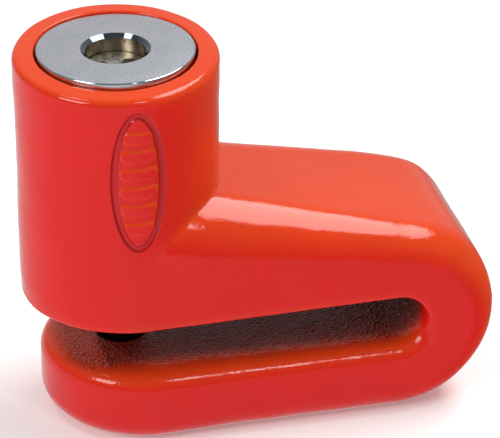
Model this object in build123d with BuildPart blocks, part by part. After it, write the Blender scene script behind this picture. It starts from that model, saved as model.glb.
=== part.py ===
"""Disc brake lock: a dipped cast body with a push-down plunger that drops its pin across a brake disc slot.

Frame: millimetres, +Z up. The origin is where the lock axis meets the base plane. +X runs to the nose,
and -Y is the side that carries the oval badge. Everything stands as locked, with the plunger pushed down.
"""
import os
from math import cos, radians, sin, tan

from build123d import *

# --- skin and outer form -------------------------------------------------------------------------
SKIN = 1.5                    # thickness of the dipped vinyl skin
HALF_WIDTH = 21.0             # block and jaw, from the middle plane to each side
NOSE_RADIUS = 20.8            # big round nose, seen from the side
NOSE_X = 51.6                 # nose centre along the slot
EDGE_RADIUS = 5.7             # rounding of the nose and of the jaw's bottom edges
SLOPE = 13.9                  # fall of the block's top towards the nose, degrees
TOP_OVER_NOSE = 19.4          # from the nose centre square to the sloping top
TOP_TO_NOSE_RADIUS = 12.0     # blend of the sloping top into the round nose
SHOULDER_AT_HOUSING = 13.8    # the block's top edge is very round beside the housing
WEDGE_LENGTH = 53.0           # from the nose centre back into the housing, along the slope
WEDGE_BELOW_NOSE = 9.0        # how far the wedge's sections reach below the nose centre
WEDGE_START = 19.2            # the wedge's half width where it starts inside the housing
FLARE_LENGTH = 12.0           # the block widens from the housing to its full width over this length
HOUSING_TOP_RADIUS = 20.1     # the housing widens slightly towards the lip
HOUSING_FOOT_RADIUS = 19.7
HOUSING_TOP = 78.0            # crest of the rolled lip
LIP_OUTER_RADIUS = 2.2
LIP_INNER_RADIUS = 1.9
LIP_CROWN = 1.5               # the skin is this much thicker over the top of the housing
JAW_END_X = -16.2             # open end of the lower jaw

# --- disc slot ------------------------------------------------------------------------------------
SLOT_FLOOR = 15.0
SLOT_CEILING = 25.8           # at the lock axis
SLOT_TILT = 0.65              # the ceiling opens towards the nose, degrees
SLOT_END_X = 51.8             # centre of the slot's round end
SLOT_EDGE_RADIUS = 1.6
SLOT_MOUTH_X = -30.0          # any place beyond the open end
SLOT_OVERLAP = 1.0            # how far the upper and lower forms run into the slot before it is cut
SHORTEST_RIM = 1.0            # an edge of the slot's rim is longer than this

# --- lock bore, plunger and its travel -----------------------------------------------------------
RUNNING = 0.05                # radial clearance of every running fit
TRAVEL = 15.5                 # the plunger rises by this when it is released
PLUNGER_RADIUS = 15.4
PLUNGER_FACE = 77.4
PLUNGER_FOOT = 41.0
FACE_CHAMFER = 0.45
BORE_FLOOR = 34.0
BORE_RADIUS = PLUNGER_RADIUS + RUNNING
MOUTH_RADIUS = 15.75          # the skin's opening round the plunger
CHAMBER_RADIUS = 8.4          # room for the latch inside the plunger
CHAMBER_TOP = 54.6
WEB_TOP = 57.0                # the plunger's floor under the key plug

# --- locking pin and the parts that guide it ------------------------------------------------------
PIN_RADIUS = 5.0
PIN_TIP = 11.0
PIN_TIP_CHAMFER = 1.0
PIN_HEAD_DEPTH = 4.4          # length of pin held in the carrier
PIN_HOLE_IN_SKIN = 5.5
BUSH_WALL = 1.5
RECEIVER_FLOOR = 8.6
GUIDE_BUSH_FOOT = 27.4
CARRIER_TOP = 46.3
CROSS_PIN_RADIUS = 1.25
CROSS_PIN_CHAMFER = 0.3

# --- key plug --------------------------------------------------------------------------------------
RECESS_RADIUS = 5.9
RECESS_MOUTH_RADIUS = 6.8
RECESS_CHAMFER_DEPTH = 0.65
PLUG_FACE = 73.9
PLUG_RADIUS = 5.65
TAIL_RADIUS = 3.0
TAIL_SQUARE = 4.0
TAIL_SHOULDER = 53.5          # the round tail turns square below this
TAIL_FOOT = 51.9
KEYWAY_FLOOR = 58.0
KEYWAY_HALF_LENGTH = 4.4
KEYWAY_NEAR = -1.0
KEYWAY_FAR = 2.0
WARD_TIP = 0.3                # the ward reaches almost to the plug's centre
WARD_HALF_ROOT = 2.0
WARD_HALF_TIP = 1.0

# --- wafers ----------------------------------------------------------------------------------------
WAFER_COUNT = 5
WAFER_THICKNESS = 0.8
WAFER_PITCH = 2.6
WAFER_FIRST = 59.5
WAFER_NEAR = -3.0
WAFER_FAR = 4.0
WAFER_WINDOW_HALF = 3.4
WAFER_PLAY = 0.05
WAFER_GROOVE_REACH = 7.0      # from the axis to the bottom of the plunger's wafer grooves
WAFER_GROOVE_TOP = 71.5

# --- cam, clip and latch ---------------------------------------------------------------------------
CAM_RADIUS = 5.0
CAM_FOOT = 50.65
CAM_TOP = 53.4
CRANK_OFFSET = 1.7            # the cam's crank pin, from the lock axis
CRANK_ANGLE = 135             # where the crank pin stands with the latch drawn in, degrees
CRANK_RADIUS = 1.0
CRANK_FOOT = 46.8
CLIP_FOOT = 53.65
CLIP_THICKNESS = 0.7
CLIP_RADIUS = 4.6
CLIP_GROOVE_RADIUS = 2.3
CLIP_MOUTH = 3.4
LATCH_FOOT = 46.35
LATCH_TOP = 50.55
LATCH_HALF_WIDTH = 4.5
LATCH_TIP = 14.55
LATCH_TAIL = -6.6
LATCH_TIP_CHAMFER = 0.8
CRANK_SLOT_PLAY = 0.08
LATCH_PLAY = 0.1
POCKET_DEPTH_X = 17.15        # from the lock axis to the bottom of the body's latch pockets
POCKET_START_X = 12.0

# --- stop screw, seal and spring -------------------------------------------------------------------
STOP_Z = 59.1                 # the stop's slot stays below the lip with the plunger up
STOP_RADIUS = 1.5
STOP_TIP_Y = 13.4
STOP_HEAD_Y = 18.2
STOP_HEX = 1.5
STOP_HEX_DEPTH = 1.6
STOP_CHAMFER = 0.4
STOP_SLOT_BOTTOM = 13.2
SEAL_FOOT = 73.2
SEAL_HEIGHT = 1.75
SEAL_WIDTH = 1.2
SEAL_LIP_CHAMFER = 0.2
SEAT_THICKNESS = 0.6
SEAT_INNER_RADIUS = 7.0
SEAT_OUTER_RADIUS = 12.5
SPRING_WIRE = 0.75            # radius of the wire
SPRING_RADIUS = 9.8
SPRING_TURNS = 3
SPRING_GAP = 0.06             # clear height left at each end of the spring

# --- oval badge -------------------------------------------------------------------------------------
BADGE_Z = 58.2
BADGE_HALF_HEIGHT = 14.6
BADGE_HALF_WIDTH = 5.6
BADGE_BAND = 1.1
BADGE_DEPTH = 0.4
BADGE_REACH = 4.0             # how far outside the housing the badge's cutter starts


def slot_ceiling(x):
    return SLOT_CEILING + x * tan(radians(SLOT_TILT))


def section_plane(along):
    """A plane square to the wedge's sloping top, at a distance back from the nose centre."""
    slope = radians(SLOPE)
    centre = (NOSE_X - along * cos(slope), 0, NOSE_RADIUS + along * sin(slope))
    return Plane(origin=centre, x_dir=(0, 1, 0), z_dir=(cos(slope), 0, -sin(slope)))


def wedge_section(along, half_width, shoulder, inset):
    """One cross-section of the wedge, with rounded top corners."""
    top = TOP_OVER_NOSE - inset
    with BuildSketch(section_plane(along)) as section:
        with Locations((0, top)):
            Rectangle(2 * (half_width - inset), top + WEDGE_BELOW_NOSE, align=(Align.CENTER, Align.MAX))
        fillet(section.vertices().group_by(Axis.Y)[-1], shoulder - inset)
    return section.sketch


def nose_form(inset):
    """The half of the round nose in front of the wedge's last section."""
    slope = radians(SLOPE)
    side = Plane(origin=(NOSE_X, 0, NOSE_RADIUS), x_dir=(cos(slope), 0, -sin(slope)), z_dir=(0, -1, 0))
    with BuildPart() as nose:
        with BuildSketch(side) as profile:
            Circle(NOSE_RADIUS - inset)
            with Locations((0, TOP_OVER_NOSE - inset)):
                Rectangle(
                    2 * NOSE_RADIUS, NOSE_RADIUS, align=(Align.CENTER, Align.MIN), mode=Mode.SUBTRACT
                )
            fillet(profile.vertices().group_by(Axis.Y)[-1], TOP_TO_NOSE_RADIUS - inset)
        extrude(amount=HALF_WIDTH - inset, both=True)
        fillet(nose.faces().filter_by(Axis.Y).edges(), EDGE_RADIUS - inset)
        split(bisect_by=section_plane(0), keep=Keep.TOP)
    return nose.part


def jaw_form(inset):
    """Lower jaw: flat base, round open end, rounded bottom edges. Its top is cut by the slot."""
    with BuildPart() as jaw:
        with BuildSketch(Plane.XY.offset(inset)) as plan:
            end_centre = JAW_END_X + HALF_WIDTH
            with Locations((end_centre, 0)):
                Circle(HALF_WIDTH - inset)
                Rectangle(NOSE_X - end_centre, 2 * (HALF_WIDTH - inset), align=(Align.MIN, Align.CENTER))
        extrude(amount=SLOT_FLOOR + SLOT_OVERLAP - inset)
        bottom = jaw.faces().sort_by(Axis.Z)[0].edges()
        fillet(bottom.sort_by(Axis.X)[:-1], EDGE_RADIUS - inset)
    return jaw.part


def is_slot_rim(edge):
    """True for an edge that runs along the slot, and not for the joins that meet it."""
    box = edge.bounding_box()
    return box.size.X > SHORTEST_RIM and box.max.Z < slot_ceiling(NOSE_X + NOSE_RADIUS)


def outer_form(inset, slot_edge=0):
    """The whole body's outside, drawn in by inset, with the disc slot cut through it."""
    top = HOUSING_TOP - inset * (SKIN + LIP_CROWN) / SKIN
    foot = SLOT_CEILING - SLOT_OVERLAP
    with BuildPart() as form:
        with BuildSketch(Plane.XZ):
            with BuildLine():
                Polyline(
                    (0, foot),
                    (HOUSING_FOOT_RADIUS - inset, foot),
                    (HOUSING_TOP_RADIUS - inset, top),
                    (0, top),
                    close=True,
                )
            make_face()
        revolve(axis=Axis.Z)
        fillet(form.edges().group_by(Axis.Z)[-1], LIP_OUTER_RADIUS - inset / 2)
        taper = FLARE_LENGTH / WEDGE_LENGTH
        loft(
            [
                wedge_section(WEDGE_LENGTH, WEDGE_START, SHOULDER_AT_HOUSING, inset),
                wedge_section(
                    WEDGE_LENGTH - FLARE_LENGTH,
                    HALF_WIDTH,
                    SHOULDER_AT_HOUSING * (1 - taper) + EDGE_RADIUS * taper,
                    inset,
                ),
                wedge_section(0, HALF_WIDTH, EDGE_RADIUS, inset),
            ],
            ruled=True,
        )
        add(nose_form(inset))
        add(jaw_form(inset))
        with BuildSketch(Plane.XZ):
            floor = SLOT_FLOOR - inset
            mouth_ceiling = slot_ceiling(SLOT_MOUTH_X) + inset
            end_ceiling = slot_ceiling(SLOT_END_X) + inset
            half_gap = (end_ceiling - floor) / 2
            with BuildLine():
                Polyline(
                    (SLOT_END_X, floor),
                    (SLOT_MOUTH_X, floor),
                    (SLOT_MOUTH_X, mouth_ceiling),
                    (SLOT_END_X, end_ceiling),
                )
                ThreePointArc(
                    (SLOT_END_X, end_ceiling),
                    (SLOT_END_X + half_gap, floor + half_gap),
                    (SLOT_END_X, floor),
                )
            make_face()
        extrude(amount=2 * HALF_WIDTH, both=True, mode=Mode.SUBTRACT)
        if slot_edge:
            fillet(form.edges(Select.LAST).filter_by(is_slot_rim), slot_edge)
    return form.part


def ring(inner, outer, foot, height):
    """A plain ring about the lock axis."""
    with BuildPart() as made:
        with BuildSketch(Plane.XY.offset(foot)):
            Circle(outer)
            Circle(inner, mode=Mode.SUBTRACT)
        extrude(amount=height)
    return made.part


def save(part, name):
    part.label = name
    export_step(part, f"parts/{name}.step")


# --- body -------------------------------------------------------------------------------------------
os.makedirs("parts", exist_ok=True)

with BuildPart() as badge_cutter:
    with BuildSketch(Plane.XZ.offset(HOUSING_TOP_RADIUS + BADGE_REACH)):
        with Locations((0, BADGE_Z)):
            Ellipse(BADGE_HALF_WIDTH, BADGE_HALF_HEIGHT)
            Ellipse(BADGE_HALF_WIDTH - BADGE_BAND, BADGE_HALF_HEIGHT - BADGE_BAND, mode=Mode.SUBTRACT)
    extrude(amount=-2 * BADGE_REACH)
    with BuildSketch(Plane.XY):
        Circle(HOUSING_FOOT_RADIUS - BADGE_DEPTH)
    extrude(amount=HOUSING_TOP, mode=Mode.SUBTRACT)

with BuildPart() as vinyl_jacket:
    add(outer_form(0, SLOT_EDGE_RADIUS))
    with BuildSketch(Plane.XY.offset(BORE_FLOOR)):
        Circle(MOUTH_RADIUS)
    extrude(amount=HOUSING_TOP - BORE_FLOOR, mode=Mode.SUBTRACT)
    mouth = vinyl_jacket.edges(Select.LAST).sort_by(Axis.Z)[-1]
    fillet(mouth, LIP_INNER_RADIUS)
    add(badge_cutter.part, mode=Mode.SUBTRACT)
    add(outer_form(SKIN), mode=Mode.SUBTRACT)
    with BuildSketch(Plane.XY.offset(SLOT_FLOOR - SKIN)):
        Circle(PIN_HOLE_IN_SKIN)
    extrude(amount=BORE_FLOOR - SLOT_FLOOR, mode=Mode.SUBTRACT)
save(vinyl_jacket.part, "vinyl_jacket")

with BuildPart() as body_casting:
    add(outer_form(SKIN))
    with BuildSketch(Plane.XY.offset(BORE_FLOOR)):
        Circle(BORE_RADIUS)
    extrude(amount=HOUSING_TOP - BORE_FLOOR, mode=Mode.SUBTRACT)
    # one hole for the guide bush above the slot, and a blind one for the receiver bush below it
    with BuildSketch(Plane.XY.offset(RECEIVER_FLOOR)):
        Circle(PIN_RADIUS + RUNNING + BUSH_WALL)
    extrude(amount=BORE_FLOOR - RECEIVER_FLOOR, mode=Mode.SUBTRACT)
    # the latch springs into one of these pockets with the plunger down, and into the other with it up
    pocket_z = (LATCH_FOOT + LATCH_TOP) / 2
    with Locations(*[(POCKET_START_X, 0, pocket_z + rise) for rise in (0, TRAVEL)]):
        Box(
            POCKET_DEPTH_X - POCKET_START_X,
            2 * (LATCH_HALF_WIDTH + 2 * LATCH_PLAY),
            LATCH_TOP - LATCH_FOOT + 2 * LATCH_PLAY,
            align=(Align.MIN, Align.CENTER, Align.CENTER),
            mode=Mode.SUBTRACT,
        )
    with BuildSketch(Plane.XZ.offset(-HOUSING_TOP_RADIUS)):
        with Locations((0, STOP_Z)):
            Circle(STOP_RADIUS)
    extrude(amount=HOUSING_TOP_RADIUS - STOP_TIP_Y, mode=Mode.SUBTRACT)
    # the seal's seat, open at the top
    with BuildSketch(Plane.XY.offset(SEAL_FOOT)):
        Circle(BORE_RADIUS + SEAL_WIDTH)
    extrude(amount=HOUSING_TOP - SEAL_FOOT, mode=Mode.SUBTRACT)
save(body_casting.part, "body_casting")

with BuildPart() as mouth_seal:
    add(ring(PLUNGER_RADIUS + RUNNING / 2, BORE_RADIUS + SEAL_WIDTH, SEAL_FOOT, SEAL_HEIGHT))
    chamfer(mouth_seal.edges().group_by(Axis.Z)[-1].sort_by(SortBy.RADIUS)[0], SEAL_LIP_CHAMFER)
save(mouth_seal.part, "mouth_seal")

with BuildPart() as pin_guide_bush:
    guide_length = BORE_FLOOR - GUIDE_BUSH_FOOT
    add(ring(PIN_RADIUS + RUNNING, PIN_RADIUS + RUNNING + BUSH_WALL, GUIDE_BUSH_FOOT, guide_length))
save(pin_guide_bush.part, "pin_guide_bush")

with BuildPart() as pin_receiver_bush:
    receiver_length = SLOT_FLOOR - SKIN - RECEIVER_FLOOR
    add(ring(PIN_RADIUS + RUNNING, PIN_RADIUS + RUNNING + BUSH_WALL, RECEIVER_FLOOR, receiver_length))
save(pin_receiver_bush.part, "pin_receiver_bush")

with BuildPart() as plunger_stop_screw:
    with BuildSketch(Plane.XZ.offset(-STOP_TIP_Y)):
        with Locations((0, STOP_Z)):
            Circle(STOP_RADIUS - RUNNING)
    extrude(amount=STOP_TIP_Y - STOP_HEAD_Y)
    chamfer(plunger_stop_screw.edges().sort_by(Axis.Y)[0], STOP_CHAMFER)
    with BuildSketch(Plane.XZ.offset(-STOP_HEAD_Y)):
        with Locations((0, STOP_Z)):
            RegularPolygon(STOP_HEX / 2, 6, major_radius=False)
    extrude(amount=STOP_HEX_DEPTH, mode=Mode.SUBTRACT)
save(plunger_stop_screw.part, "plunger_stop_screw")

with BuildPart() as spring_seat:
    add(ring(SEAT_INNER_RADIUS, SEAT_OUTER_RADIUS, BORE_FLOOR, SEAT_THICKNESS))
save(spring_seat.part, "spring_seat")

with BuildPart() as return_spring:
    spring_foot = BORE_FLOOR + SEAT_THICKNESS + SPRING_GAP + SPRING_WIRE
    spring_head = PLUNGER_FOOT - SPRING_GAP - SPRING_WIRE
    spring_height = spring_head - spring_foot
    with BuildLine(Plane.XY.offset(spring_foot)) as coil:
        Helix(pitch=spring_height / SPRING_TURNS, height=spring_height, radius=SPRING_RADIUS)
    with BuildSketch(coil.line ^ 0):
        Circle(SPRING_WIRE)
    sweep(is_frenet=True)
save(return_spring.part, "return_spring")

# --- plunger ----------------------------------------------------------------------------------------
with BuildPart() as plunger_barrel:
    with BuildSketch(Plane.XY.offset(PLUNGER_FOOT)):
        Circle(PLUNGER_RADIUS)
    extrude(amount=PLUNGER_FACE - PLUNGER_FOOT)
    chamfer(plunger_barrel.edges().filter_by(GeomType.CIRCLE), FACE_CHAMFER)
    # key recess, plug bore, the hole for the plug's tail, and the chamber for the latch
    for radius, foot, top in (
        (RECESS_RADIUS, PLUG_FACE, PLUNGER_FACE),
        (PLUG_RADIUS + RUNNING, WEB_TOP, PLUG_FACE),
        (TAIL_RADIUS + RUNNING, CHAMBER_TOP, WEB_TOP),
        (CHAMBER_RADIUS, PLUNGER_FOOT, CHAMBER_TOP),
    ):
        with BuildSketch(Plane.XY.offset(foot)):
            Circle(radius)
        extrude(amount=top - foot, mode=Mode.SUBTRACT)
    recess_mouth = plunger_barrel.edges().filter_by(GeomType.CIRCLE).filter_by_position(
        Axis.Z, PLUNGER_FACE, PLUNGER_FACE
    )
    chamfer(recess_mouth.sort_by(SortBy.RADIUS)[0], RECESS_CHAMFER_DEPTH, RECESS_MOUTH_RADIUS - RECESS_RADIUS)
    # grooves that the wafers spring into, one each side of the plug
    with Locations((0, (WAFER_NEAR + WAFER_FAR) / 2, WEB_TOP)):
        Box(
            2 * WAFER_GROOVE_REACH,
            WAFER_FAR - WAFER_NEAR,
            WAFER_GROOVE_TOP - WEB_TOP,
            align=(Align.CENTER, Align.CENTER, Align.MIN),
            mode=Mode.SUBTRACT,
        )
    # the latch's window
    with Locations((0, 0, (LATCH_FOOT + LATCH_TOP) / 2)):
        Box(
            2 * PLUNGER_RADIUS,
            2 * (LATCH_HALF_WIDTH + LATCH_PLAY),
            LATCH_TOP - LATCH_FOOT + LATCH_PLAY,
            align=(Align.MIN, Align.CENTER, Align.CENTER),
            mode=Mode.SUBTRACT,
        )
    # the slot that the stop screw runs in
    with BuildSketch(Plane.XZ.offset(-PLUNGER_RADIUS)):
        with Locations((0, STOP_Z - TRAVEL / 2)):
            SlotCenterToCenter(TRAVEL, 2 * (STOP_RADIUS + LATCH_PLAY), rotation=90)
    extrude(amount=PLUNGER_RADIUS - STOP_SLOT_BOTTOM, mode=Mode.SUBTRACT)
save(plunger_barrel.part, "plunger_barrel")

with BuildPart() as pin_carrier:
    with BuildSketch(Plane.XY.offset(PLUNGER_FOOT)):
        Circle(CHAMBER_RADIUS - RUNNING)
    extrude(amount=CARRIER_TOP - PLUNGER_FOOT)
    with BuildSketch(Plane.XY.offset(PLUNGER_FOOT)):
        Circle(PIN_RADIUS + RUNNING)
    extrude(amount=PIN_HEAD_DEPTH + RUNNING, mode=Mode.SUBTRACT)
    cross_pin_z = PLUNGER_FOOT + PIN_HEAD_DEPTH / 2
    with BuildSketch(Plane.XZ):
        with Locations((0, cross_pin_z)):
            Circle(CROSS_PIN_RADIUS + RUNNING)
    extrude(amount=CHAMBER_RADIUS, both=True, mode=Mode.SUBTRACT)
save(pin_carrier.part, "pin_carrier")

with BuildPart() as locking_pin:
    with BuildSketch(Plane.XY.offset(PIN_TIP)):
        Circle(PIN_RADIUS)
    extrude(amount=PLUNGER_FOOT + PIN_HEAD_DEPTH - PIN_TIP)
    chamfer(locking_pin.edges().group_by(Axis.Z)[0], PIN_TIP_CHAMFER)
    with BuildSketch(Plane.XZ):
        with Locations((0, cross_pin_z)):
            Circle(CROSS_PIN_RADIUS + RUNNING)
    extrude(amount=PIN_RADIUS, both=True, mode=Mode.SUBTRACT)
save(locking_pin.part, "locking_pin")

with BuildPart() as carrier_cross_pin:
    with BuildSketch(Plane.XZ):
        with Locations((0, cross_pin_z)):
            Circle(CROSS_PIN_RADIUS)
    extrude(amount=CHAMBER_RADIUS - 4 * RUNNING, both=True)
    chamfer(carrier_cross_pin.edges().filter_by(GeomType.CIRCLE), CROSS_PIN_CHAMFER)
save(carrier_cross_pin.part, "carrier_cross_pin")

# --- key plug and everything that turns with it -----------------------------------------------------
wafer_floors = [WAFER_FIRST + WAFER_PITCH * i for i in range(WAFER_COUNT)]
wafer_width = WAFER_FAR - WAFER_NEAR
wafer_middle = (WAFER_FAR + WAFER_NEAR) / 2

with BuildPart() as key_plug:
    for radius, foot, top in (
        (PLUG_RADIUS, WEB_TOP + RUNNING, PLUG_FACE),
        (TAIL_RADIUS, TAIL_SHOULDER, WEB_TOP + RUNNING),
    ):
        with BuildSketch(Plane.XY.offset(foot)):
            Circle(radius)
        extrude(amount=top - foot)
    with BuildSketch(Plane.XY.offset(TAIL_FOOT)):
        Rectangle(TAIL_SQUARE, TAIL_SQUARE)
    extrude(amount=TAIL_SHOULDER - TAIL_FOOT)
    with BuildSketch(Plane.XY.offset(KEYWAY_FLOOR)):
        with BuildLine():
            Polyline(
                (-KEYWAY_HALF_LENGTH, KEYWAY_NEAR),
                (KEYWAY_HALF_LENGTH, KEYWAY_NEAR),
                (KEYWAY_HALF_LENGTH, KEYWAY_FAR),
                (WARD_HALF_ROOT, KEYWAY_FAR),
                (WARD_HALF_TIP, WARD_TIP),
                (-WARD_HALF_TIP, WARD_TIP),
                (-WARD_HALF_ROOT, KEYWAY_FAR),
                (-KEYWAY_HALF_LENGTH, KEYWAY_FAR),
                close=True,
            )
        make_face()
    extrude(amount=PLUG_FACE - KEYWAY_FLOOR, mode=Mode.SUBTRACT)
    with Locations(*[(0, wafer_middle, floor - WAFER_PLAY) for floor in wafer_floors]):
        Box(
            2 * PLUG_RADIUS,
            wafer_width,
            WAFER_THICKNESS + 2 * WAFER_PLAY,
            align=(Align.CENTER, Align.CENTER, Align.MIN),
            mode=Mode.SUBTRACT,
        )
    with BuildSketch(Plane.XY.offset(CLIP_FOOT - WAFER_PLAY)):
        Circle(PLUG_RADIUS)
        Circle(CLIP_GROOVE_RADIUS, mode=Mode.SUBTRACT)
    extrude(amount=CLIP_THICKNESS + 2 * WAFER_PLAY, mode=Mode.SUBTRACT)
save(key_plug.part, "key_plug")

for number, floor in enumerate(wafer_floors, start=1):
    with BuildPart() as wafer:
        with BuildSketch(Plane.XY.offset(floor)):
            Circle(PLUG_RADIUS - WAFER_PLAY)
            with Locations((0, wafer_middle)):
                Rectangle(2 * PLUG_RADIUS, wafer_width - 2 * WAFER_PLAY, mode=Mode.INTERSECT)
            with Locations((0, (KEYWAY_NEAR + KEYWAY_FAR) / 2)):
                Rectangle(2 * WAFER_WINDOW_HALF, KEYWAY_FAR - KEYWAY_NEAR, mode=Mode.SUBTRACT)
        extrude(amount=WAFER_THICKNESS)
    save(wafer.part, f"wafer_{number}")

with BuildPart() as plug_clip:
    with BuildSketch(Plane.XY.offset(CLIP_FOOT)):
        Circle(CLIP_RADIUS)
        Circle(CLIP_GROOVE_RADIUS + RUNNING, mode=Mode.SUBTRACT)
        Rectangle(CLIP_RADIUS, CLIP_MOUTH, align=(Align.MIN, Align.CENTER), mode=Mode.SUBTRACT)
    extrude(amount=CLIP_THICKNESS)
save(plug_clip.part, "plug_clip")

crank_angle = radians(CRANK_ANGLE)
crank_centre = (CRANK_OFFSET * cos(crank_angle), CRANK_OFFSET * sin(crank_angle))

with BuildPart() as drive_cam:
    with BuildSketch(Plane.XY.offset(CAM_FOOT)):
        Circle(CAM_RADIUS)
    extrude(amount=CAM_TOP - CAM_FOOT)
    with BuildSketch(Plane.XY.offset(CRANK_FOOT)):
        with Locations(crank_centre):
            Circle(CRANK_RADIUS)
    extrude(amount=CAM_FOOT - CRANK_FOOT)
    with BuildSketch(Plane.XY.offset(TAIL_FOOT - RUNNING)):
        Rectangle(TAIL_SQUARE + RUNNING, TAIL_SQUARE + RUNNING)
    extrude(amount=CAM_TOP - TAIL_FOOT + RUNNING, mode=Mode.SUBTRACT)
save(drive_cam.part, "drive_cam")

# --- latch ------------------------------------------------------------------------------------------
with BuildPart() as latch_bolt:
    with BuildSketch(Plane.XY.offset(LATCH_FOOT)):
        with Locations((LATCH_TAIL, 0)):
            Rectangle(LATCH_TIP - LATCH_TAIL, 2 * LATCH_HALF_WIDTH, align=(Align.MIN, Align.CENTER))
        with Locations((crank_centre[0], 0)):
            Rectangle(
                2 * (CRANK_RADIUS + CRANK_SLOT_PLAY),
                CRANK_OFFSET + CRANK_RADIUS + 2 * LATCH_PLAY,
                align=(Align.CENTER, Align.MIN),
                mode=Mode.SUBTRACT,
            )
    extrude(amount=LATCH_TOP - LATCH_FOOT)
    tip_edges = latch_bolt.faces().sort_by(Axis.X)[-1].edges().filter_by(Axis.Y)
    chamfer(tip_edges.sort_by(Axis.Z)[0], LATCH_TIP_CHAMFER)
save(latch_bolt.part, "latch_bolt")
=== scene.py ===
"""Looks of the disc brake lock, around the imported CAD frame. Sizes are in mm until they are meshed."""
import math

import bmesh
import bpy
import numpy as np
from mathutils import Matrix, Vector


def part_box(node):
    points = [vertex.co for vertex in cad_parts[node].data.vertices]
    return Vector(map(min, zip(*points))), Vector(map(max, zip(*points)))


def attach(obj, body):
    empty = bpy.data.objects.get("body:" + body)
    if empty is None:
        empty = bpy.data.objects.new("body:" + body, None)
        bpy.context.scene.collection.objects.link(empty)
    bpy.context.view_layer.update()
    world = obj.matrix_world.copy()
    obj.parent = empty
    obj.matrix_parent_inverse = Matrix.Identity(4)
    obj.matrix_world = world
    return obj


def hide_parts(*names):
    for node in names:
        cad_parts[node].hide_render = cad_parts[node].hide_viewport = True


MM = 0.001
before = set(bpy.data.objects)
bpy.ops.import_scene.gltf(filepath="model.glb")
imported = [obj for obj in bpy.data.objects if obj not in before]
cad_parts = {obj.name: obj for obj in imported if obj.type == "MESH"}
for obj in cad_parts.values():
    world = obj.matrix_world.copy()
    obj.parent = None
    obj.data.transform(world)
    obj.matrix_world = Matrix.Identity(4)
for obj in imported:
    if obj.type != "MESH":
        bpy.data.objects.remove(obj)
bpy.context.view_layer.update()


# --- sizes read from the frame ---------------------------------------------------------------------
def box_mm(node):
    low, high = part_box(node)
    return np.array(low) / MM, np.array(high) / MM


skin_low, skin_high = box_mm("vinyl_jacket")
barrel_low, barrel_high = box_mm("plunger_barrel")
pin_low, pin_high = box_mm("locking_pin")
_, plug_high = box_mm("key_plug")

HALF_WIDTH = skin_high[1]
PLUNGER_RADIUS = barrel_high[0]
PLUNGER_FACE = barrel_high[2]
PIN_RADIUS = pin_high[0]

# --- shape of the dipped body -----------------------------------------------------------------------
SKIN = 1.5
SKIN_INSET = 0.06             # keeps the waves of the coat inside the CAD box
BLOCK_EDGE_BAND = 14.0        # the block's edge changes to the nose's over this height
NOSE_RADIUS = 20.8
NOSE_X = skin_high[0] - NOSE_RADIUS
SLOPE = math.radians(13.9)
TOP_OVER_NOSE = 19.65         # from the nose centre square to the sloping top
TOP_TO_NOSE_BLEND = 2.0
HOUSING_RADIUS = 19.9
HOUSING_FOOT_RADIUS = 19.7
RIM_BULGE = 0.15              # the housing is a little wider beside its rim
RIM_BULGE_START = 66.0
RIM_BULGE_HEIGHT = 6.0
RIM_HEIGHT = 77.1             # the rim's inner edge, on average
RIM_LEAN = 0.045              # the rim stands a little higher at the back
RIM_FALL = 0.10               # and falls outward, most at the front
RIM_FALL_CHANGE = 0.002
RIM_INNER_RADIUS = 16.2
RIM_OUTER_EDGE = 1.3
RIM_INNER_EDGE = 0.45
MOUTH_RADIUS = 15.75
SHOULDER_AT_HOUSING = 13.8
SHOULDER_AT_NOSE = 7.6
EDGE_RADIUS = 5.7
JAW_END_EDGE_RADIUS = 4.9
JAW_END_X = -16.2
FLARE_LENGTH = 14.0
FLARE_START = 19.7
FOOT_CENTRE = 1.2             # the wedge's round end at the slot, from the lock axis
HIGH_SIDE_Z = 37.0
CREASE_RADIUS = 0.4
SLOT_FLOOR = 15.0
SLOT_CEILING = 25.8
SLOT_TILT = math.tan(math.radians(0.65))
SLOT_END_X = 51.8
SLOT_EDGE_CEILING = 0.7
SLOT_EDGE_FLOOR = 3.6
PIN_HOLE_RADIUS = 4.75
PIN_HOLE_MIDDLE = 21.0
PIN_HOLE_REACH = 12.0
PIN_HOLE_EDGE = 0.25
BORE_FLOOR = 34.0

BADGE_Z = 58.2
BADGE_HALF_WIDTH = 5.6
BADGE_HALF_HEIGHT = 15.2
BADGE_BAND_MIDDLE = -0.85     # from the oval's outline to the middle of its sunk band
BADGE_BAND_HALF = 0.95
BADGE_BAND_WALL = 0.75
BADGE_BAND_DEPTH = 0.38
BADGE_RIBS = 6
BADGE_RIB_PITCH = 3.9
BADGE_RIB_HALF_LENGTH = 2.5
BADGE_RIB_HALF_WIDTH = 1.15
BADGE_RIB_ARCH = 0.045
BADGE_RIB_HEIGHT = 0.34
BADGE_RIB_WALL = 0.7
BADGE_RIB_DROP = 0.2          # the arched ribs' middles sit this much lower
BADGE_DIVISIONS = 2           # the mesh is finer over the badge, in front of BADGE_FRONT
BADGE_FRONT = -15.0
BADGE_BAND_SHADE = 0.4

WAVE_HEIGHT = 0.035           # slow unevenness of the dipped coat
RIPPLE_HEIGHT = 0.02

# painted shade inside the disc slot: the red coat there is painted dark, over its real grain
SLOT_SHADE_EDGE = 14.2            # it fades out this far from the middle plane
SLOT_SHADE_SPREAD = 1.8           # and a little farther at the nose
SLOT_SHADE_FADE = 6.0
SLOT_SHADE_CREASE = -5.5
SLOT_SHADE_CREASE_WIDTH = 1.5
SLOT_SHADE_BEYOND_CREASE = 0.58            # how much of the painted shade is left beyond the crease
SLOT_SHADE_DEPTH = 0.3            # it reaches this far round the slot's edges
SLOT_SHADE_DEPTH_FADE = 1.0

# painted light and a thinner coat: painted more orange on what faces up and on what faces +X, where the
# softboxes light it, and on edges, where the coat is thinner
PAINTED_LIGHT_UP = 0.95
PAINTED_LIGHT_RIGHT = 0.8
THIN_EDGE = 0.35
EDGE_REACH = 2.5
EDGE_GAIN = 12.0

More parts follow.
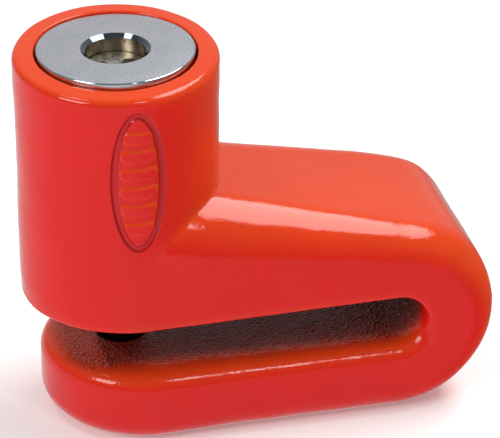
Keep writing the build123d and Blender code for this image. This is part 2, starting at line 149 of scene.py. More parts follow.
# --- the mesh of the skin ---------------------------------------------------------------------------
GRID_STEP = 0.5
EVENING_ROUNDS = 2
EVENING = 0.6                 # how far a vertex moves towards the middle of its neighbours
LONGEST_MOVE = 0.3
FLATTEST = 0.2                # keeps a step finite where the distance field is flat
NORMAL_REACH = 0.08
TINY = 1e-6

# --- plunger and pin, as in the CAD ---------------------------------------------------------------------
PLUNGER_FOOT = barrel_low[2]
FACE_EDGE = 0.28
RECESS_RADIUS = 5.9
RECESS_MOUTH_RADIUS = 6.8
RECESS_CHAMFER_DEPTH = 0.65
PLUG_FACE = plug_high[2]
PLUG_BORE_RADIUS = 5.7
WEB_TOP = 57.0
TAIL_BORE_RADIUS = 3.05
CHAMBER_TOP = 54.6
CHAMBER_RADIUS = 8.4
LATCH_WINDOW = ((0, -4.6, 46.3), (16, 4.6, 50.6))
WAFER_GROOVES = ((-7, -3, 57), (7, 4, 71.5))
STOP_SLOT = ((-1.6, 13.2, 43.6), (1.6, 16, 59.1))
STOP_SLOT_RADIUS = 1.6
CROSS_PIN_HOLE = ((0, -6, 43.2), 1.3)
PIN_TIP_RADIUS = 4.5          # the part of the pin that crosses the slot is turned down a little
PIN_NECK = 27.0
PIN_CHAMFER = 1.0
LATHE_SEGMENTS = 256
SHARP_ANGLE = math.radians(28)

# --- light and camera -------------------------------------------------------------------------------
FLOOR_SIZE = 3.0              # metres, like the rest of this part
FLOOR_DROP = 0.0002
FLOOR_GLOW = 0.2              # lifts the floor to white without lighting the object much
ROOM = 0.18                   # levels of what the gloss reflects
BACKDROP = 0.49
BACKDROP_DIRECTION = (0.21, 0.85, 0.49)
FLOOR_LEFT = 0.75
FLOOR_RIGHT = 0.12
LIT_POINT = (0.03, 0, 0.045)  # what the softboxes face
CAMERA_AZIMUTH = math.radians(13.79)
CAMERA_ELEVATION = math.radians(28.97)
CAMERA_AIM = (0.0265, 0, 0.0365)
CAMERA_REACH = 0.6857
CAMERA_LENS = 248.4
CAMERA_SENSOR = 36


def blend01(t):
    """Smooth step from 0 to 1."""
    t = np.clip(t, 0, 1)
    return t * t * (3 - 2 * t)


def rounded_and(a, b, r):
    """What two solids share, with its edge rounded. Distances are negative inside."""
    return np.minimum(np.maximum(a, b), -r) + np.hypot(np.maximum(a + r, 0), np.maximum(b + r, 0))


def rounded_or(a, b, r):
    """Two solids joined, with a fillet between them."""
    return np.maximum(np.minimum(a, b), r) - np.hypot(np.maximum(r - a, 0), np.maximum(r - b, 0))


def softer_max(a, b, size):
    """The larger of two values, with a soft change from one to the other."""
    near = np.maximum(size - np.abs(a - b), 0) / size
    return np.maximum(a, b) + near * near * size / 4


def slot_distance(x, z):
    """Distance to the disc slot, negative inside it, and how high a point lies in it, from -1 to 1."""
    ceiling = SLOT_CEILING + SLOT_TILT * np.minimum(x, SLOT_END_X)
    half = (ceiling - SLOT_FLOOR) / 2
    middle = (ceiling + SLOT_FLOOR) / 2
    straight = np.abs(z - middle) - half
    end = np.hypot(x - SLOT_END_X, z - middle) - half
    return np.where(x < SLOT_END_X, straight, end), np.clip((z - middle) / half, -1, 1)


def housing_distance(x, y, z):
    """The upright housing, up to its rim, without the plunger's bore."""
    radius = np.hypot(x, y)
    taper = (HOUSING_RADIUS - HOUSING_FOOT_RADIUS) / (RIM_HEIGHT - SLOT_CEILING)
    bulge = RIM_BULGE * blend01((z - RIM_BULGE_START) / RIM_BULGE_HEIGHT)
    wall = radius - HOUSING_FOOT_RADIUS - taper * (z - SLOT_CEILING) - bulge
    fall = RIM_FALL - RIM_FALL_CHANGE * y
    rim = z - RIM_HEIGHT - RIM_LEAN * y + fall * np.maximum(radius - RIM_INNER_RADIUS, 0)
    column = rounded_and(wall, rim, RIM_OUTER_EDGE)
    return np.maximum(column, (SLOT_FLOOR + SLOT_CEILING) / 2 - z)


def block_distance(x, y, z):
    """Wedge, nose and lower jaw, before the slot is cut."""
    qx, qz = x - NOSE_X, z - NOSE_RADIUS
    along = qx * math.cos(SLOPE) - qz * math.sin(SLOPE)
    across = qx * math.sin(SLOPE) + qz * math.cos(SLOPE)
    upper_nose = np.hypot(np.maximum(along, 0), across) - NOSE_RADIUS
    lower_nose = np.hypot(np.maximum(qx, 0), qz) - NOSE_RADIUS
    profile = softer_max(across - TOP_OVER_NOSE, upper_nose, TOP_TO_NOSE_BLEND)

    # seen from above, the wedge meets the housing narrower at its top than at the slot
    flare = FLARE_START + (HALF_WIDTH - FLARE_START) * blend01(x / FLARE_LENGTH)
    high_side = np.where(x < 0, np.hypot(x, y) - FLARE_START, np.abs(y) - flare)
    low_side = np.hypot(np.minimum(x - FOOT_CENTRE, 0), y) - HALF_WIDTH
    low = blend01((HIGH_SIDE_Z - z) / (HIGH_SIDE_Z - SLOT_CEILING))
    wedge_side = high_side + (low_side - high_side) * low
    reach = np.clip(x / NOSE_X, 0, 1)
    shoulder = SHOULDER_AT_HOUSING + (SHOULDER_AT_NOSE - SHOULDER_AT_HOUSING) * reach
    drop = blend01((NOSE_RADIUS + BLOCK_EDGE_BAND - z) / BLOCK_EDGE_BAND)
    shoulder = shoulder + (EDGE_RADIUS - shoulder) * drop * reach
    wedge = rounded_and(profile, wedge_side, shoulder)

    jaw_side = np.hypot(np.minimum(x - JAW_END_X - HALF_WIDTH, 0), y) - HALF_WIDTH
    jaw_edge = JAW_END_EDGE_RADIUS + (EDGE_RADIUS - JAW_END_EDGE_RADIUS) * blend01(x / HALF_WIDTH)
    jaw = rounded_and(lower_nose, jaw_side, jaw_edge)
    upper = z > (SLOT_FLOOR + SLOT_CEILING) / 2
    return np.where(upper, wedge, jaw)


def badge_relief(x, y, z):
    """Height of the badge's relief on the housing: a sunk oval band, and raised bars inside it."""
    u = HOUSING_RADIUS * np.arctan2(x, -y)
    v = z - BADGE_Z
    level = np.hypot(u / BADGE_HALF_WIDTH, v / BADGE_HALF_HEIGHT) + TINY
    slope = np.hypot(u / BADGE_HALF_WIDTH**2, v / BADGE_HALF_HEIGHT**2) / level + TINY
    outside = (level - 1) / slope
    off_band = np.abs(outside - BADGE_BAND_MIDDLE) - BADGE_BAND_HALF
    relief = BADGE_BAND_DEPTH * (blend01(off_band / BADGE_BAND_WALL + 1) - 1)
    for i in range(BADGE_RIBS):
        centre = (i - (BADGE_RIBS - 1) / 2) * BADGE_RIB_PITCH
        half_length = BADGE_RIB_HALF_LENGTH * math.sqrt(1 - (centre / (BADGE_HALF_HEIGHT - 1)) ** 2)
        arch = v - centre - BADGE_RIB_ARCH * u * u + BADGE_RIB_DROP
        rib = np.hypot(np.maximum(np.abs(u) - half_length, 0), arch) - BADGE_RIB_HALF_WIDTH
        relief = relief + BADGE_RIB_HEIGHT * (1 - blend01(rib / BADGE_RIB_WALL + 0.5))
    return np.where(y < 0, relief, 0)


def waviness(x, y, z):
    """Slow unevenness of a dipped coat."""
    a = np.sin(0.31 * x + 0.23 * z + 1.3) * np.sin(0.27 * y - 0.19 * x + 0.4)
    b = np.sin(0.55 * z - 0.41 * x + 2.1) * np.sin(0.47 * y + 0.33 * z)
    return WAVE_HEIGHT * a + RIPPLE_HEIGHT * b


def body_distance(x, y, z):
    """The outside of the skin, without the plunger's bore."""
    block = block_distance(x, y, z)
    body = rounded_or(housing_distance(x, y, z), block, CREASE_RADIUS)
    slot, height = slot_distance(x, z)
    edge = SLOT_EDGE_CEILING + (SLOT_EDGE_FLOOR - SLOT_EDGE_CEILING) * blend01((1 - height) / 2)
    body = rounded_and(body, -slot, edge)
    return body + SKIN_INSET - waviness(x, y, z) - badge_relief(x, y, z)


def skin_distance(x, y, z):
    solid = body_distance(x, y, z)
    radius = np.hypot(x, y)
    bore = np.maximum(radius - MOUTH_RADIUS, BORE_FLOOR - z)
    skin = np.maximum(rounded_and(solid, -bore, RIM_INNER_EDGE), -(solid + SKIN))
    pin_hole = np.maximum(radius - PIN_HOLE_RADIUS, np.abs(z - PIN_HOLE_MIDDLE) - PIN_HOLE_REACH)
    return rounded_and(skin, -pin_hole, PIN_HOLE_EDGE)


def surface_net(distance, low, high, step):
    """Vertices and quads of a distance field's zero surface, on a regular grid."""
    axes = [np.arange(a, b + step, step) for a, b in zip(low, high)]
    grid = np.meshgrid(*axes, indexing="ij")
    field = distance(*grid).astype(np.float32)
    inside = field < 0
    cells = tuple(n - 1 for n in field.shape)
    total = np.zeros(cells + (3,), np.float32)
    count = np.zeros(cells, np.float32)
    quads = []
    for axis in range(3):
        others = [k for k in range(3) if k != axis]
        first = [slice(None)] * 3
        second = [slice(None)] * 3
        first[axis] = slice(0, -1)
        second[axis] = slice(1, None)
        a, b = field[tuple(first)], field[tuple(second)]
        crossing = inside[tuple(first)] != inside[tuple(second)]
        index = np.argwhere(crossing)
        keep = np.all([(index[:, k] > 0) & (index[:, k] < field.shape[k] - 1) for k in others], axis=0)
        index = index[keep]
        at = tuple(index.T)
        share = a[at] / (a[at] - b[at])
        point = index.astype(np.float32)
        point[:, axis] += share
        around = []
        for du, dv in ((-1, -1), (0, -1), (0, 0), (-1, 0)):
            cell = index.copy()
            cell[:, others[0]] += du
            cell[:, others[1]] += dv
            np.add.at(total, tuple(cell.T), point)
            np.add.at(count, tuple(cell.T), 1)
            around.append(np.ravel_multi_index(tuple(cell.T), cells))
        quad = np.stack(around, 1)
        flip = inside[tuple(first)][at] == (axis == 1)
        quad[flip] = quad[flip][:, ::-1]
        quads.append(quad)
    quads = np.concatenate(quads)
    used, quads = np.unique(quads, return_inverse=True)
    quads = quads.reshape(-1, 4)
    points = total.reshape(-1, 3)[used] / count.reshape(-1)[used, None]
    return points.astype(float) * step + np.array([ax[0] for ax in axes]), quads


def unit(vectors):
    return vectors / np.maximum(np.linalg.norm(vectors, axis=1)[:, None], TINY)


def gradient(distance, p, eps=0.05):
    parts = []
    for k in range(3):
        d = np.zeros(3)
        d[k] = eps
        parts.append((distance(*(p + d).T) - distance(*(p - d).T)) / (2 * eps))
    return np.stack(parts, 1)


def onto_surface(distance, points, steps):
    """Moves points to the surface, along the field's gradient."""
    for _ in range(steps):
        g = gradient(distance, points)
        move = distance(*points.T) / np.maximum((g * g).sum(1), FLATTEST)
        points = points - np.clip(move, -LONGEST_MOVE, LONGEST_MOVE)[:, None] * g
    return points


def settle(distance, points, quads, rounds):
    """Evens out the net along the surface and puts every vertex exactly on it."""
    for _ in range(rounds):
        total = np.zeros_like(points)
        count = np.zeros(len(points))
        for k in range(4):
            for step in (1, 3):
                np.add.at(total, quads[:, k], points[quads[:, (k + step) % 4]])
                np.add.at(count, quads[:, k], 1)
        points = points + EVENING * (total / count[:, None] - points)
        points = onto_surface(distance, points, 2)
    return points


def mesh_object(name, points, faces, smooth=True):
    mesh = bpy.data.meshes.new(name)
    mesh.from_pydata((points * MM).tolist(), [], [list(map(int, f)) for f in faces])
    mesh.validate()
    mesh.update()
    made = bpy.data.objects.new(name, mesh)
    bpy.context.scene.collection.objects.link(made)
    if smooth:
        mesh.polygons.foreach_set("use_smooth", np.ones(len(mesh.polygons), bool))
    return made


def point_attribute(obj, name, values):
    made = obj.data.attributes.new(name, "FLOAT", "POINT")
    made.data.foreach_set("value", np.asarray(values, np.float32))


def refine(obj, distance, chosen, cuts):
    """Divides the faces whose corners are all chosen, and puts the new vertices on the surface too."""
    mesh = bmesh.new()
    mesh.from_mesh(obj.data)
    mesh.verts.ensure_lookup_table()
    edges = [e for e in mesh.edges if chosen[e.verts[0].index] and chosen[e.verts[1].index]]
    bmesh.ops.subdivide_edges(mesh, edges=edges, cuts=cuts, use_grid_fill=True)
    mesh.to_mesh(obj.data)
    mesh.free()
    points = onto_surface(distance, mesh_points(obj), 3)
    obj.data.vertices.foreach_set("co", (points * MM).astype(np.float32).ravel())
    obj.data.update()
    return points


def mesh_points(obj):
    """Vertices of a mesh, in millimetres."""
    flat = np.zeros(len(obj.data.vertices) * 3, np.float32)
    obj.data.vertices.foreach_get("co", flat)
    return flat.reshape(-1, 3).astype(float) / MM


def arc(centre_r, centre_z, radius, start, end, steps=6):
    """Points of a rounded corner in a lathe's profile, angles in degrees."""
    angles = [math.radians(start + (end - start) * i / steps) for i in range(steps + 1)]
    return [(centre_r + radius * math.cos(a), centre_z + radius * math.sin(a)) for a in angles]


def lathe(name, profile, finishes=None):
    """Turns a closed profile of (radius, height) about the lock axis, with a material index for each side."""
    n = len(profile)
    turn = 2 * math.pi / LATHE_SEGMENTS
    points, faces, indices = [], [], []
    ring_start = []
    for r, z in profile:
        ring_start.append(len(points))
        count = 1 if r == 0 else LATHE_SEGMENTS
        points += [(r * math.cos(turn * i), r * math.sin(turn * i), z) for i in range(count)]
    for k in range(n):
        a, b = k, (k + 1) % n
        if profile[a][0] == 0 and profile[b][0] == 0:
            continue
        for i in range(LATHE_SEGMENTS):
            j = (i + 1) % LATHE_SEGMENTS
            corners = []
            for ring, spoke in ((a, i), (a, j), (b, j), (b, i)):
                corner = ring_start[ring] + (0 if profile[ring][0] == 0 else spoke)
                if corner not in corners:
                    corners.append(corner)
            faces.append(corners)
            indices.append(finishes[k] if finishes else 0)
    made = mesh_object(name, np.array(points), faces)
    made.data.polygons.foreach_set("material_index", indices)
    made.data.set_sharp_from_angle(angle=SHARP_ANGLE)
    return made


def prism(outline, plane, low, high):
    """A cutter: an outline extruded along the axis that plane leaves out."""
    points = []
    for level in (low, high):
        for u, v in outline:
            points.append({"xy": (u, v, level), "xz": (u, level, v)}[plane])
    n = len(outline)
    faces = [list(range(n))[::-1], list(range(n, 2 * n))]
    faces += [[i, (i + 1) % n, (i + 1) % n + n, i + n] for i in range(n)]
    cutter = mesh_object("cutter", np.array(points, float), faces, smooth=False)
    work = bmesh.new()
    work.from_mesh(cutter.data)
    bmesh.ops.recalc_face_normals(work, faces=work.faces)
    work.to_mesh(cutter.data)
    work.free()
    return cutter


def box_cutter(low, high):
    (x0, y0, z0), (x1, y1, z1) = low, high
    return prism([(x0, y0), (x1, y0), (x1, y1), (x0, y1)], "xy", z0, z1)


def round_slot(centre_u, low_v, high_v, radius, steps=16):
    """Outline of an upright slot with round ends."""
    top = arc(centre_u, high_v, radius, 0, 180, steps)
    return top + arc(centre_u, low_v, radius, 180, 360, steps)


def cut(piece, cutters):
    for cutter in cutters:
        step = piece.modifiers.new("cut", "BOOLEAN")
        step.operation = "DIFFERENCE"
        step.solver = "EXACT"
        step.object = cutter
    ready = piece.evaluated_get(bpy.context.evaluated_depsgraph_get())
    mesh = bpy.data.meshes.new_from_object(ready)
    piece.modifiers.clear()
    old = piece.data
    piece.data = mesh
    bpy.data.meshes.remove(old)
    for cutter in cutters:
        bpy.data.objects.remove(cutter)


# --- materials --------------------------------------------------------------------------------------
class Nodes:
    """Short-hand for building a material's node tree."""

    def __init__(self, name):
        self.material = bpy.data.materials.new(name)
        self.material.use_nodes = True
        self.tree = self.material.node_tree
        self.bsdf = self.tree.nodes["Principled BSDF"]
        self.place = self.node("TexCoord")

    def node(self, kind, **settings):
        made = self.tree.nodes.new("ShaderNode" + kind)
        for key, value in settings.items():
            if hasattr(made, key) and key not in made.inputs:
                setattr(made, key, value)
            else:
                made.inputs[key.replace("_", " ")].default_value = value
        return made

    def link(self, a, output, b, socket):
        self.tree.links.new(a.outputs[output], b.inputs[socket])

    def set(self, **values):
        for key, value in values.items():
            self.bsdf.inputs[key.replace("_", " ")].default_value = value


def rgb(r, g, b):
    """Display colour 0..255 to scene-linear RGBA."""
    lin = [c / 255 / 12.92 if c <= 10 else ((c / 255 + 0.055) / 1.055) ** 2.4 for c in (r, g, b)]
    return (*lin, 1)


VINYL_RED = rgb(223, 22, 19)
VINYL_ORANGE = rgb(228, 70, 26)
VINYL_BAND_SHADE = rgb(178, 16, 32)
SLOT_SHADE_RED = rgb(124, 20, 14)
SLOT_GRAIN_GLINT = rgb(142, 64, 46)
VINYL_IOR = 1.43
VINYL_ROUGHNESS = 0.05
SLOT_ROUGHNESS = 0.36
GROOVE_EDGES = (0.02, 0.25)   # where the grain's painted glint colour ends and the painted slot shade begins
# textures, in features per metre
METAL_PATCHES = 220.0
TURNING_MARKS = 1400.0
CLOUDS = 90.0
COAT_WAVES = 420.0
COAT_PEEL = 1700.0
SLOT_GRAIN_SCALE = 1150.0
NOISE_RANGE = (0.3, 0.7)      # where most of a noise texture's values lie


def mix_colour(m, factor, factor_output, a, b):
    mix = m.node("Mix", data_type="RGBA")
    m.link(factor, factor_output, mix, 0)
    for socket, value in ((6, a), (7, b)):
        if isinstance(value, tuple) and len(value) == 4:
            mix.inputs[socket].default_value = value
        else:
            m.tree.links.new(value, mix.inputs[socket])
    return mix


def noise(m, scale, detail=2.0, roughness=0.5):
    made = m.node("TexNoise", Scale=scale, Detail=detail, Roughness=roughness)
    m.link(m.place, "Object", made, "Vector")
    return made


def span(m, source, output, low, high, from_low=0.0, from_high=1.0):
    """A texture's value mapped to a range."""
    made = m.node("MapRange", From_Min=from_low, From_Max=from_high, To_Min=low, To_Max=high)
    m.link(source, output, made, "Value")
    return made


def bump(m, source, output, strength, distance, before=None):
    made = m.node("Bump", Strength=strength, Distance=distance)
    m.link(source, output, made, "Height")
    if before:
        m.link(before, "Normal", made, "Normal")
    return made


def vinyl_material():
    """Glossy red dipped coat: painted light makes it more orange on what faces up and +X, and the thinner
    coat does so on edges; painted shade darkens the badge's band and the grained inside of the disc slot.
    """
    m = Nodes("dipped_red_vinyl")
    thin_coat_and_painted_light = m.node("Attribute", attribute_name="thin_coat_and_painted_light")
    slot = m.node("Attribute", attribute_name="slot")
    sunk = m.node("Attribute", attribute_name="sunk")
    # painted light: upward and +X faces are mixed towards orange, and so are the thinner edges
    red = mix_colour(m, thin_coat_and_painted_light, "Fac", VINYL_RED, VINYL_ORANGE)
    # painted shade on the badge's sunk band
    band_shaded = mix_colour(m, sunk, "Fac", red.outputs[2], VINYL_BAND_SHADE)
    cloud = span(m, noise(m, CLOUDS, 3.0), "Fac", low=0.93, high=1.07)
    mottled = m.node("Mix", data_type="RGBA", blend_type="MULTIPLY")
    mottled.inputs[0].default_value = 1
    m.tree.links.new(band_shaded.outputs[2], mottled.inputs[6])
    m.tree.links.new(cloud.outputs["Result"], mottled.inputs[7])
    grain = m.node("TexVoronoi", feature="DISTANCE_TO_EDGE", Scale=SLOT_GRAIN_SCALE)
    m.link(m.place, "Object", grain, "Vector")
    # the grain is real; its lighter lines are painted glints
    speck = m.node("ValToRGB")
    for stop, position, colour in zip(speck.color_ramp.elements, GROOVE_EDGES, (SLOT_GRAIN_GLINT, SLOT_SHADE_RED)):
        stop.position = position
        stop.color = colour
    m.link(grain, "Distance", speck, "Fac")
    # painted shade inside the slot, with the grain's painted glints
    colour = mix_colour(m, slot, "Fac", mottled.outputs[2], speck.outputs["Color"])
    m.tree.links.new(colour.outputs[2], m.bsdf.inputs["Base Color"])
    rough = span(m, slot, "Fac", VINYL_ROUGHNESS, SLOT_ROUGHNESS)
    m.link(rough, "Result", m.bsdf, "Roughness")
    # orange peel outside, leather-like grain in the slot
    waves = bump(m, noise(m, COAT_WAVES, 1.0), "Fac", strength=0.06, distance=0.0004)
    peel = bump(m, noise(m, COAT_PEEL), "Fac", strength=0.17, distance=0.0002, before=waves)
    slot_grain_bump = bump(m, grain, "Distance", strength=0.0, distance=0.0006, before=peel)
    m.link(span(m, slot, "Fac", 0.0, 1.0), "Result", slot_grain_bump, "Strength")
    m.link(slot_grain_bump, "Normal", m.bsdf, "Normal")
    m.set(IOR=VINYL_IOR)
    return m.material


def metal_material(name, light, dark, roughness, grain_scale, grain, rings=0.0, metallic=1.0):
    """Worn metal: mottled colour, uneven gloss, fine grain, and turning marks where rings is above 0."""
    m = Nodes(name)
    patches = noise(m, METAL_PATCHES, detail=4.0, roughness=0.6)
    tint = mix_colour(m, span(m, patches, "Fac", 0.0, 1.0, *NOISE_RANGE), "Result", light, dark)
    m.tree.links.new(tint.outputs[2], m.bsdf.inputs["Base Color"])
    fine = noise(m, grain_scale)
    gloss = span(m, fine, "Fac", roughness * 0.8, roughness * 1.25, *NOISE_RANGE)
    m.link(gloss, "Result", m.bsdf, "Roughness")
    finish = bump(m, fine, "Fac", grain, distance=0.0001)
    if rings:
        marks = m.node("TexWave", wave_type="BANDS", bands_direction="Z", Distortion=1.5)
        marks.inputs["Scale"].default_value = TURNING_MARKS
        m.link(m.place, "Object", marks, "Vector")
        finish = bump(m, marks, "Fac", rings, distance=0.00005, before=finish)
    m.link(finish, "Normal", m.bsdf, "Normal")
    m.set(Metallic=metallic)
    return m.material


SATIN_CHROME = metal_material(
    "satin_chrome", rgb(228, 230, 238), rgb(216, 219, 229),
    roughness=0.27, grain_scale=4200.0, grain=0.06)
POLISHED_CHROME = metal_material(
    "polished_chrome", rgb(206, 212, 218), rgb(188, 196, 204),
    roughness=0.07, grain_scale=1500.0, grain=0.04)
# painted shade: a darker copy of the polished chrome, for the recess's chamfer
SHADED_CHROME = metal_material(
    "shaded_chrome", rgb(120, 132, 142), rgb(104, 116, 126),
    roughness=0.05, grain_scale=1500.0, grain=0.03)
BRONZED_BORE = metal_material(
    "bronzed_bore", rgb(158, 142, 118), rgb(98, 92, 80),
    roughness=0.28, grain_scale=900.0, grain=0.15, rings=0.1)
TURNED_STEEL = metal_material(
    "turned_steel", rgb(150, 150, 152), rgb(118, 118, 122),
    roughness=0.34, grain_scale=1400.0, grain=0.15, rings=0.3)
NICKEL_PLUG = metal_material(
    "nickel_plug", rgb(244, 243, 236), rgb(206, 206, 198),
    roughness=0.3, grain_scale=1100.0, grain=0.2)
BRASS = metal_material(
    "wafer_brass", rgb(212, 170, 92), rgb(168, 126, 62),
    roughness=0.3, grain_scale=1600.0, grain=0.2)
HARDENED_PIN = metal_material(
    "hardened_pin", rgb(78, 44, 40), rgb(46, 30, 30),
    roughness=0.32, grain_scale=1200.0, grain=0.15, rings=0.25)
HARDENED_BUSH = metal_material(
    "hardened_bush", rgb(96, 96, 102), rgb(70, 70, 76),
    roughness=0.3, grain_scale=1300.0, grain=0.15, rings=0.3)
CAST_ZINC = metal_material(
    "cast_zinc", rgb(146, 146, 150), rgb(112, 112, 118),
    roughness=0.5, grain_scale=700.0, grain=0.5)
SPRING_STEEL = metal_material(
    "spring_steel", rgb(172, 170, 168), rgb(120, 112, 106),
    roughness=0.24, grain_scale=1500.0, grain=0.1)
SEAL_RUBBER = metal_material(
    "seal_rubber", rgb(30, 28, 28), rgb(20, 19, 19),
    roughness=0.6, grain_scale=900.0, grain=0.4, metallic=0.0)

CAD_FINISHES = {
    "body_casting": CAST_ZINC,
    "mouth_seal": SEAL_RUBBER,
    "pin_guide_bush": HARDENED_BUSH,
    "pin_receiver_bush": HARDENED_BUSH,
    "plunger_stop_screw": HARDENED_BUSH,
    "spring_seat": TURNED_STEEL,
    "return_spring": SPRING_STEEL,
    "pin_carrier": TURNED_STEEL,
    "carrier_cross_pin": HARDENED_BUSH,
    "key_plug": NICKEL_PLUG,
    "plug_clip": SPRING_STEEL,
    "drive_cam": TURNED_STEEL,
    "latch_bolt": TURNED_STEEL,
}


# --- the dipped skin --------------------------------------------------------------------------------
def build_skin():
    low = skin_low - 2 * GRID_STEP
    high = skin_high + 2 * GRID_STEP
    points, quads = surface_net(skin_distance, low, high, GRID_STEP)
    points = settle(skin_distance, points, quads, EVENING_ROUNDS)
    skin = mesh_object("dipped_vinyl_skin", points, quads)
    x, y, z = points.T
    beside = np.abs(x) < BADGE_HALF_WIDTH + 1
    level = np.abs(z - BADGE_Z) < BADGE_HALF_HEIGHT + 1
    points = refine(skin, skin_distance, beside & level & (y < BADGE_FRONT), BADGE_DIVISIONS)
    x, y, z = points.T
    normals = unit(gradient(skin_distance, points, NORMAL_REACH))

    # painted shade: the coat inside the slot is painted dark, most far inside and least round the open left
    # end
    depth, _ = slot_distance(x, z)
    near = 1 - blend01((np.abs(depth) - SLOT_SHADE_DEPTH) / SLOT_SHADE_DEPTH_FADE)
    edge = SLOT_SHADE_EDGE + SLOT_SHADE_SPREAD * np.clip(x / NOSE_X, 0, 1)
    shade_across = 1 - blend01((np.abs(y) - edge) / SLOT_SHADE_FADE + 0.5)
    shade_along = SLOT_SHADE_BEYOND_CREASE + (1 - SLOT_SHADE_BEYOND_CREASE) * blend01((x - SLOT_SHADE_CREASE) / SLOT_SHADE_CREASE_WIDTH + 0.5)
    point_attribute(skin, "slot", near * shade_across * shade_along * blend01((x - JAW_END_X) / SLOT_SHADE_FADE))
    # how much an edge turns within a few millimetres says how much thinner the coat is there
    far = unit(gradient(body_distance, points, EDGE_REACH))
    bend = np.clip(EDGE_GAIN - EDGE_GAIN * (normals * far).sum(1), 0, 1)
    # painted light: what faces up and what faces +X is painted more orange, as the softboxes light it; edges
    # get more orange for the thinner coat
    up, right = np.maximum(normals[:, 2], 0), np.maximum(normals[:, 0], 0)
    point_attribute(skin, "thin_coat_and_painted_light", blend01(PAINTED_LIGHT_UP * up + PAINTED_LIGHT_RIGHT * right + THIN_EDGE * bend))
    # painted shade: the badge's band is painted darkest halfway down its walls
    depth = np.clip(-badge_relief(x, y, z) / BADGE_BAND_DEPTH, 0, 1)
    point_attribute(skin, "sunk", np.clip(4 * depth * (1 - depth) + BADGE_BAND_SHADE * depth, 0, 1))
    skin.data.normals_split_custom_set_from_vertices(normals.tolist())
    skin.data.materials.append(vinyl_material())
    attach(skin, "lock_body")
    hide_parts("vinyl_jacket")


# --- plunger and pin --------------------------------------------------------------------------------
def build_plunger():
    top, foot, edge = PLUNGER_FACE, PLUNGER_FOOT, FACE_EDGE
    outside = [(PLUNGER_RADIUS - edge, foot), (PLUNGER_RADIUS, foot + edge)]
    face_edge = arc(PLUNGER_RADIUS - edge, top - edge, edge, 0, 90, 4)
    inside = [
        (RECESS_MOUTH_RADIUS, top),
        (RECESS_RADIUS, top - RECESS_CHAMFER_DEPTH),
        (RECESS_RADIUS, PLUG_FACE),
        (PLUG_BORE_RADIUS, PLUG_FACE),
        (PLUG_BORE_RADIUS, WEB_TOP),
        (TAIL_BORE_RADIUS, WEB_TOP),
        (TAIL_BORE_RADIUS, CHAMBER_TOP),
        (CHAMBER_RADIUS, CHAMBER_TOP),
        (CHAMBER_RADIUS, foot),
    ]
    # 0 satin face, 1 polished chrome, 2 bronzed bore, 3 turned steel, 4 the recess's chamfer, chrome painted
    # darker as painted shade
    finishes = [1] * (len(outside) + len(face_edge) - 1) + [0, 4, 2, 2, 3, 3, 3, 3, 3, 3]
    barrel = lathe("chrome_plunger", outside + face_edge + inside, finishes)
    for material in (SATIN_CHROME, POLISHED_CHROME, BRONZED_BORE, TURNED_STEEL, SHADED_CHROME):
        barrel.data.materials.append(material)
    (x0, y0, z0), (x1, y1, z1) = STOP_SLOT
    stop_slot = prism(round_slot((x0 + x1) / 2, z0, z1, STOP_SLOT_RADIUS), "xz", y0, y1)
    cut(barrel, [box_cutter(*LATCH_WINDOW), box_cutter(*WAFER_GROOVES), stop_slot])
    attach(barrel, "plunger")
    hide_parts("plunger_barrel")


def build_pin():
    foot, top, chamfer = pin_low[2], pin_high[2], PIN_CHAMFER
    tip = arc(PIN_TIP_RADIUS - chamfer, foot + chamfer, chamfer, 270, 360, 5)
    neck = [(PIN_TIP_RADIUS, PIN_NECK), (PIN_RADIUS, PIN_NECK + chamfer)]
    pin = lathe("hardened_locking_pin", [(0, foot)] + tip + neck + [(PIN_RADIUS, top), (0, top)])
    pin.data.materials.append(HARDENED_PIN)
    (x, y, z), radius = CROSS_PIN_HOLE
    cut(pin, [prism(arc(x, z, radius, 0, 345, 23), "xz", y, -y)])
    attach(pin, "plunger")
    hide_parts("locking_pin")


def finish_cad_nodes():
    for name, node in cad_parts.items():
        if name not in ("vinyl_jacket", "plunger_barrel", "locking_pin"):
            node.data.materials.clear()
            node.data.materials.append(CAD_FINISHES.get(name, BRASS))


# --- stage ------------------------------------------------------------------------------------------
def build_stage():
    bpy.ops.mesh.primitive_plane_add(size=FLOOR_SIZE, location=(0, 0, -FLOOR_DROP))
    floor = bpy.context.object
    floor.name = "floor"
    paper = Nodes("white_paper")
    paper.set(Base_Color=(0.9, 0.9, 0.9, 1), Roughness=0.9, Emission_Color=(1, 1, 1, 1))
    paper.set(Emission_Strength=FLOOR_GLOW)
    floor.data.materials.append(paper.material)
    floor.visible_glossy = False


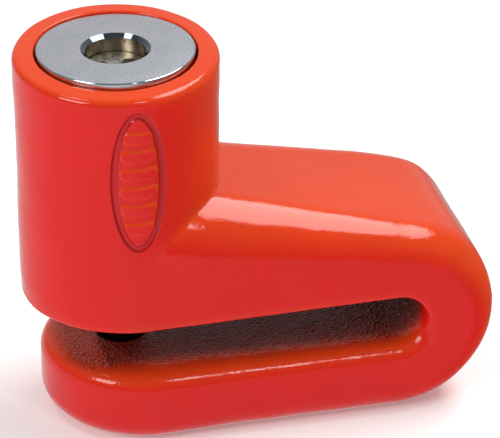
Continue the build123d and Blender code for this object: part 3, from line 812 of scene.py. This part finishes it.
def build_world():
    """A dim room: a backdrop behind the object, and below it a pale floor that is lit from the left only."""
    world = bpy.data.worlds.new("studio")
    bpy.context.scene.world = world
    world.use_nodes = True
    tree = world.node_tree
    background = tree.nodes["Background"]
    background.inputs["Color"].default_value = (1, 1, 1, 1)
    place = tree.nodes.new("ShaderNodeTexCoord")

    def facing(direction, start, end, low, high):
        """A level that goes from low to high as the direction's share of a ray goes from start to end."""
        towards = tree.nodes.new("ShaderNodeVectorMath")
        towards.operation = "DOT_PRODUCT"
        towards.inputs[1].default_value = Vector(direction).normalized()
        tree.links.new(place.outputs["Generated"], towards.inputs[0])
        level = tree.nodes.new("ShaderNodeMapRange")
        level.interpolation_type = "SMOOTHSTEP"
        for socket, value in (("From Min", start), ("From Max", end), ("To Min", low), ("To Max", high)):
            level.inputs[socket].default_value = value
        tree.links.new(towards.outputs["Value"], level.inputs["Value"])
        return level.outputs["Result"]

    above = facing(BACKDROP_DIRECTION, start=0.45, end=0.86, low=ROOM, high=BACKDROP)
    below = facing((1, 0, 0), start=0.0, end=0.8, low=FLOOR_LEFT, high=FLOOR_RIGHT)
    horizon = facing((0, 0, 1), start=-0.12, end=0.0, low=0.0, high=1.0)
    level = tree.nodes.new("ShaderNodeMix")
    for socket, source in zip(level.inputs, (horizon, None, below, above)):
        if source:
            tree.links.new(source, socket)
    tree.links.new(level.outputs[0], background.inputs["Strength"])


def panel(name, place, size, radiance, facing=None, shape="RECTANGLE"):
    """A softbox that a mirror would show with this radiance. It faces the object unless facing is given."""
    data = bpy.data.lights.new(name, "AREA")
    data.shape = shape
    data.size, data.size_y = size
    area = size[0] * size[1] * (math.pi / 4 if shape == "ELLIPSE" else 1)
    data.energy = radiance * math.pi * area
    light = bpy.data.objects.new(name, data)
    light.location = place
    if not facing:
        facing = (Vector(LIT_POINT) - Vector(place)).to_track_quat("-Z", "Y").to_euler()
    light.rotation_euler = facing
    bpy.context.scene.collection.objects.link(light)


def build_camera():
    """A long lens, from the front left and above."""
    level = math.cos(CAMERA_ELEVATION)
    sideways = math.sin(CAMERA_AZIMUTH) * level
    back = Vector((-sideways, -math.cos(CAMERA_AZIMUTH) * level, math.sin(CAMERA_ELEVATION)))
    data = bpy.data.cameras.new("photo_view")
    data.sensor_width = CAMERA_SENSOR
    data.lens = CAMERA_LENS
    camera = bpy.data.objects.new("photo_view", data)
    camera.location = Vector(CAMERA_AIM) + back * CAMERA_REACH
    camera.rotation_euler = (-back).to_track_quat("-Z", "Y").to_euler()
    bpy.context.scene.collection.objects.link(camera)
    bpy.context.scene.camera = camera


build_skin()
build_plunger()
build_pin()
finish_cad_nodes()
build_stage()
build_world()
build_camera()
panel("long_softbox", (0.53, 0.2, 0.94), size=(0.5, 1.13), radiance=7.1, facing=(0, 0, 0), shape="ELLIPSE")
panel("top_softbox", (-0.36, 0.045, 0.94), size=(0.22, 0.22), radiance=6.5)
panel("front_softbox", (0.265, -0.70, 0.94), size=(0.09, 0.24), radiance=12)
panel("left_softbox", (-0.64, -0.37, 0.52), size=(0.39, 0.31), radiance=8)
bpy.context.scene.view_settings.view_transform = "Standard"
